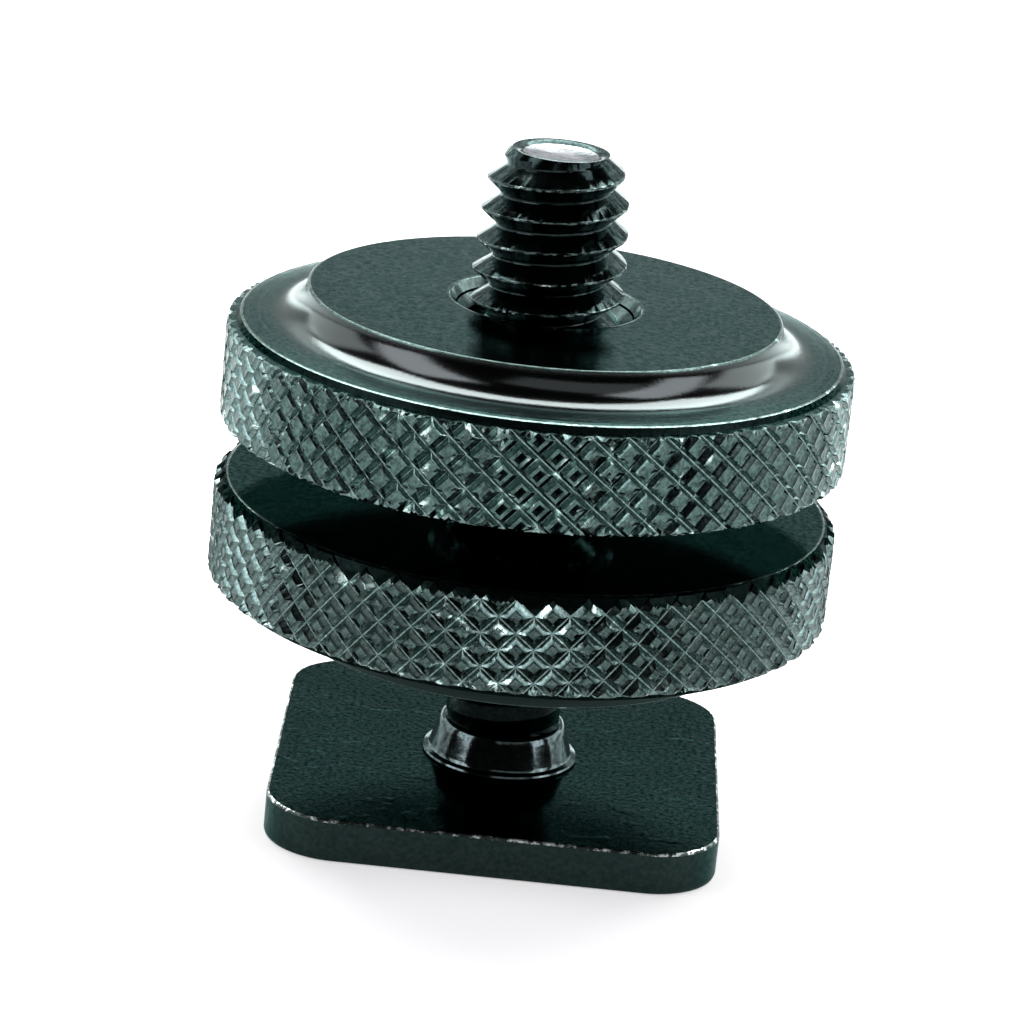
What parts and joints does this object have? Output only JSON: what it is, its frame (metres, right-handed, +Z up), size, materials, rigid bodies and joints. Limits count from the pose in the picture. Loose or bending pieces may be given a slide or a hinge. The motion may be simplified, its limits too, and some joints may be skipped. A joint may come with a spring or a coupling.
{
  "type": "accessory shoe screw adapter",
  "caption": "Accessory shoe foot with a threaded stud and knurled disc nuts: the lower nut clamps the foot in its shoe, the upper nut backs whatever is screwed on top.",
  "frame": {"origin": "centre of the foot plate's underside, on the stud's axis", "axes": "+Z up along the stud towards its free end, X across the shoe rails, Y along the shoe rails"},
  "size_m": [0.0258, 0.0258, 0.028],
  "materials": {
    "foot_plate": "satin black plated steel, worn bright along its top edges",
    "stud_steel": "glossy black plated steel",
    "nut_alloy": "black anodised aluminium, satin flats, glossy turned cove and diamond knurl"
  },
  "bodies": {
    "foot": {"foot_plate": "foot_plate", "stud_collar": "stud_steel", "threaded_stud": "stud_steel"},
    "lower_nut_travel": {"lower_nut_thread": "nut_alloy"},
    "lower_nut": {"lower_nut": "nut_alloy"},
    "upper_nut_travel": {"upper_nut_thread": "nut_alloy"},
    "upper_nut": {"upper_nut": "nut_alloy"}
  },
  "joints": [
    {"name": "lower_nut_slide", "type": "slide", "parent": "foot", "child": "lower_nut_travel", "axis": [0, 0, 1], "range_m": [-0.00382, 0.00107]},
    {"name": "lower_nut_turn", "type": "hinge", "parent": "lower_nut_travel", "child": "lower_nut", "pos_m": [0, 0, 0.01055], "axis": [0, 0, 1], "range_deg": [-1080, 300]},
    {"name": "upper_nut_slide", "type": "slide", "parent": "foot", "child": "upper_nut_travel", "axis": [0, 0, 1], "range_m": [-0.00107, 0.00636]},
    {"name": "upper_nut_turn", "type": "hinge", "parent": "upper_nut_travel", "child": "upper_nut", "pos_m": [0, 0, 0.0188], "axis": [0, 0, 1], "range_deg": [-300, 1800]}
  ],
  "couplings": [
    {"joint": "lower_nut_slide", "follows": "lower_nut_turn", "m_per_rad": 0.00020213},
    {"joint": "upper_nut_slide", "follows": "upper_nut_turn", "m_per_rad": 0.00020213}
  ]
}
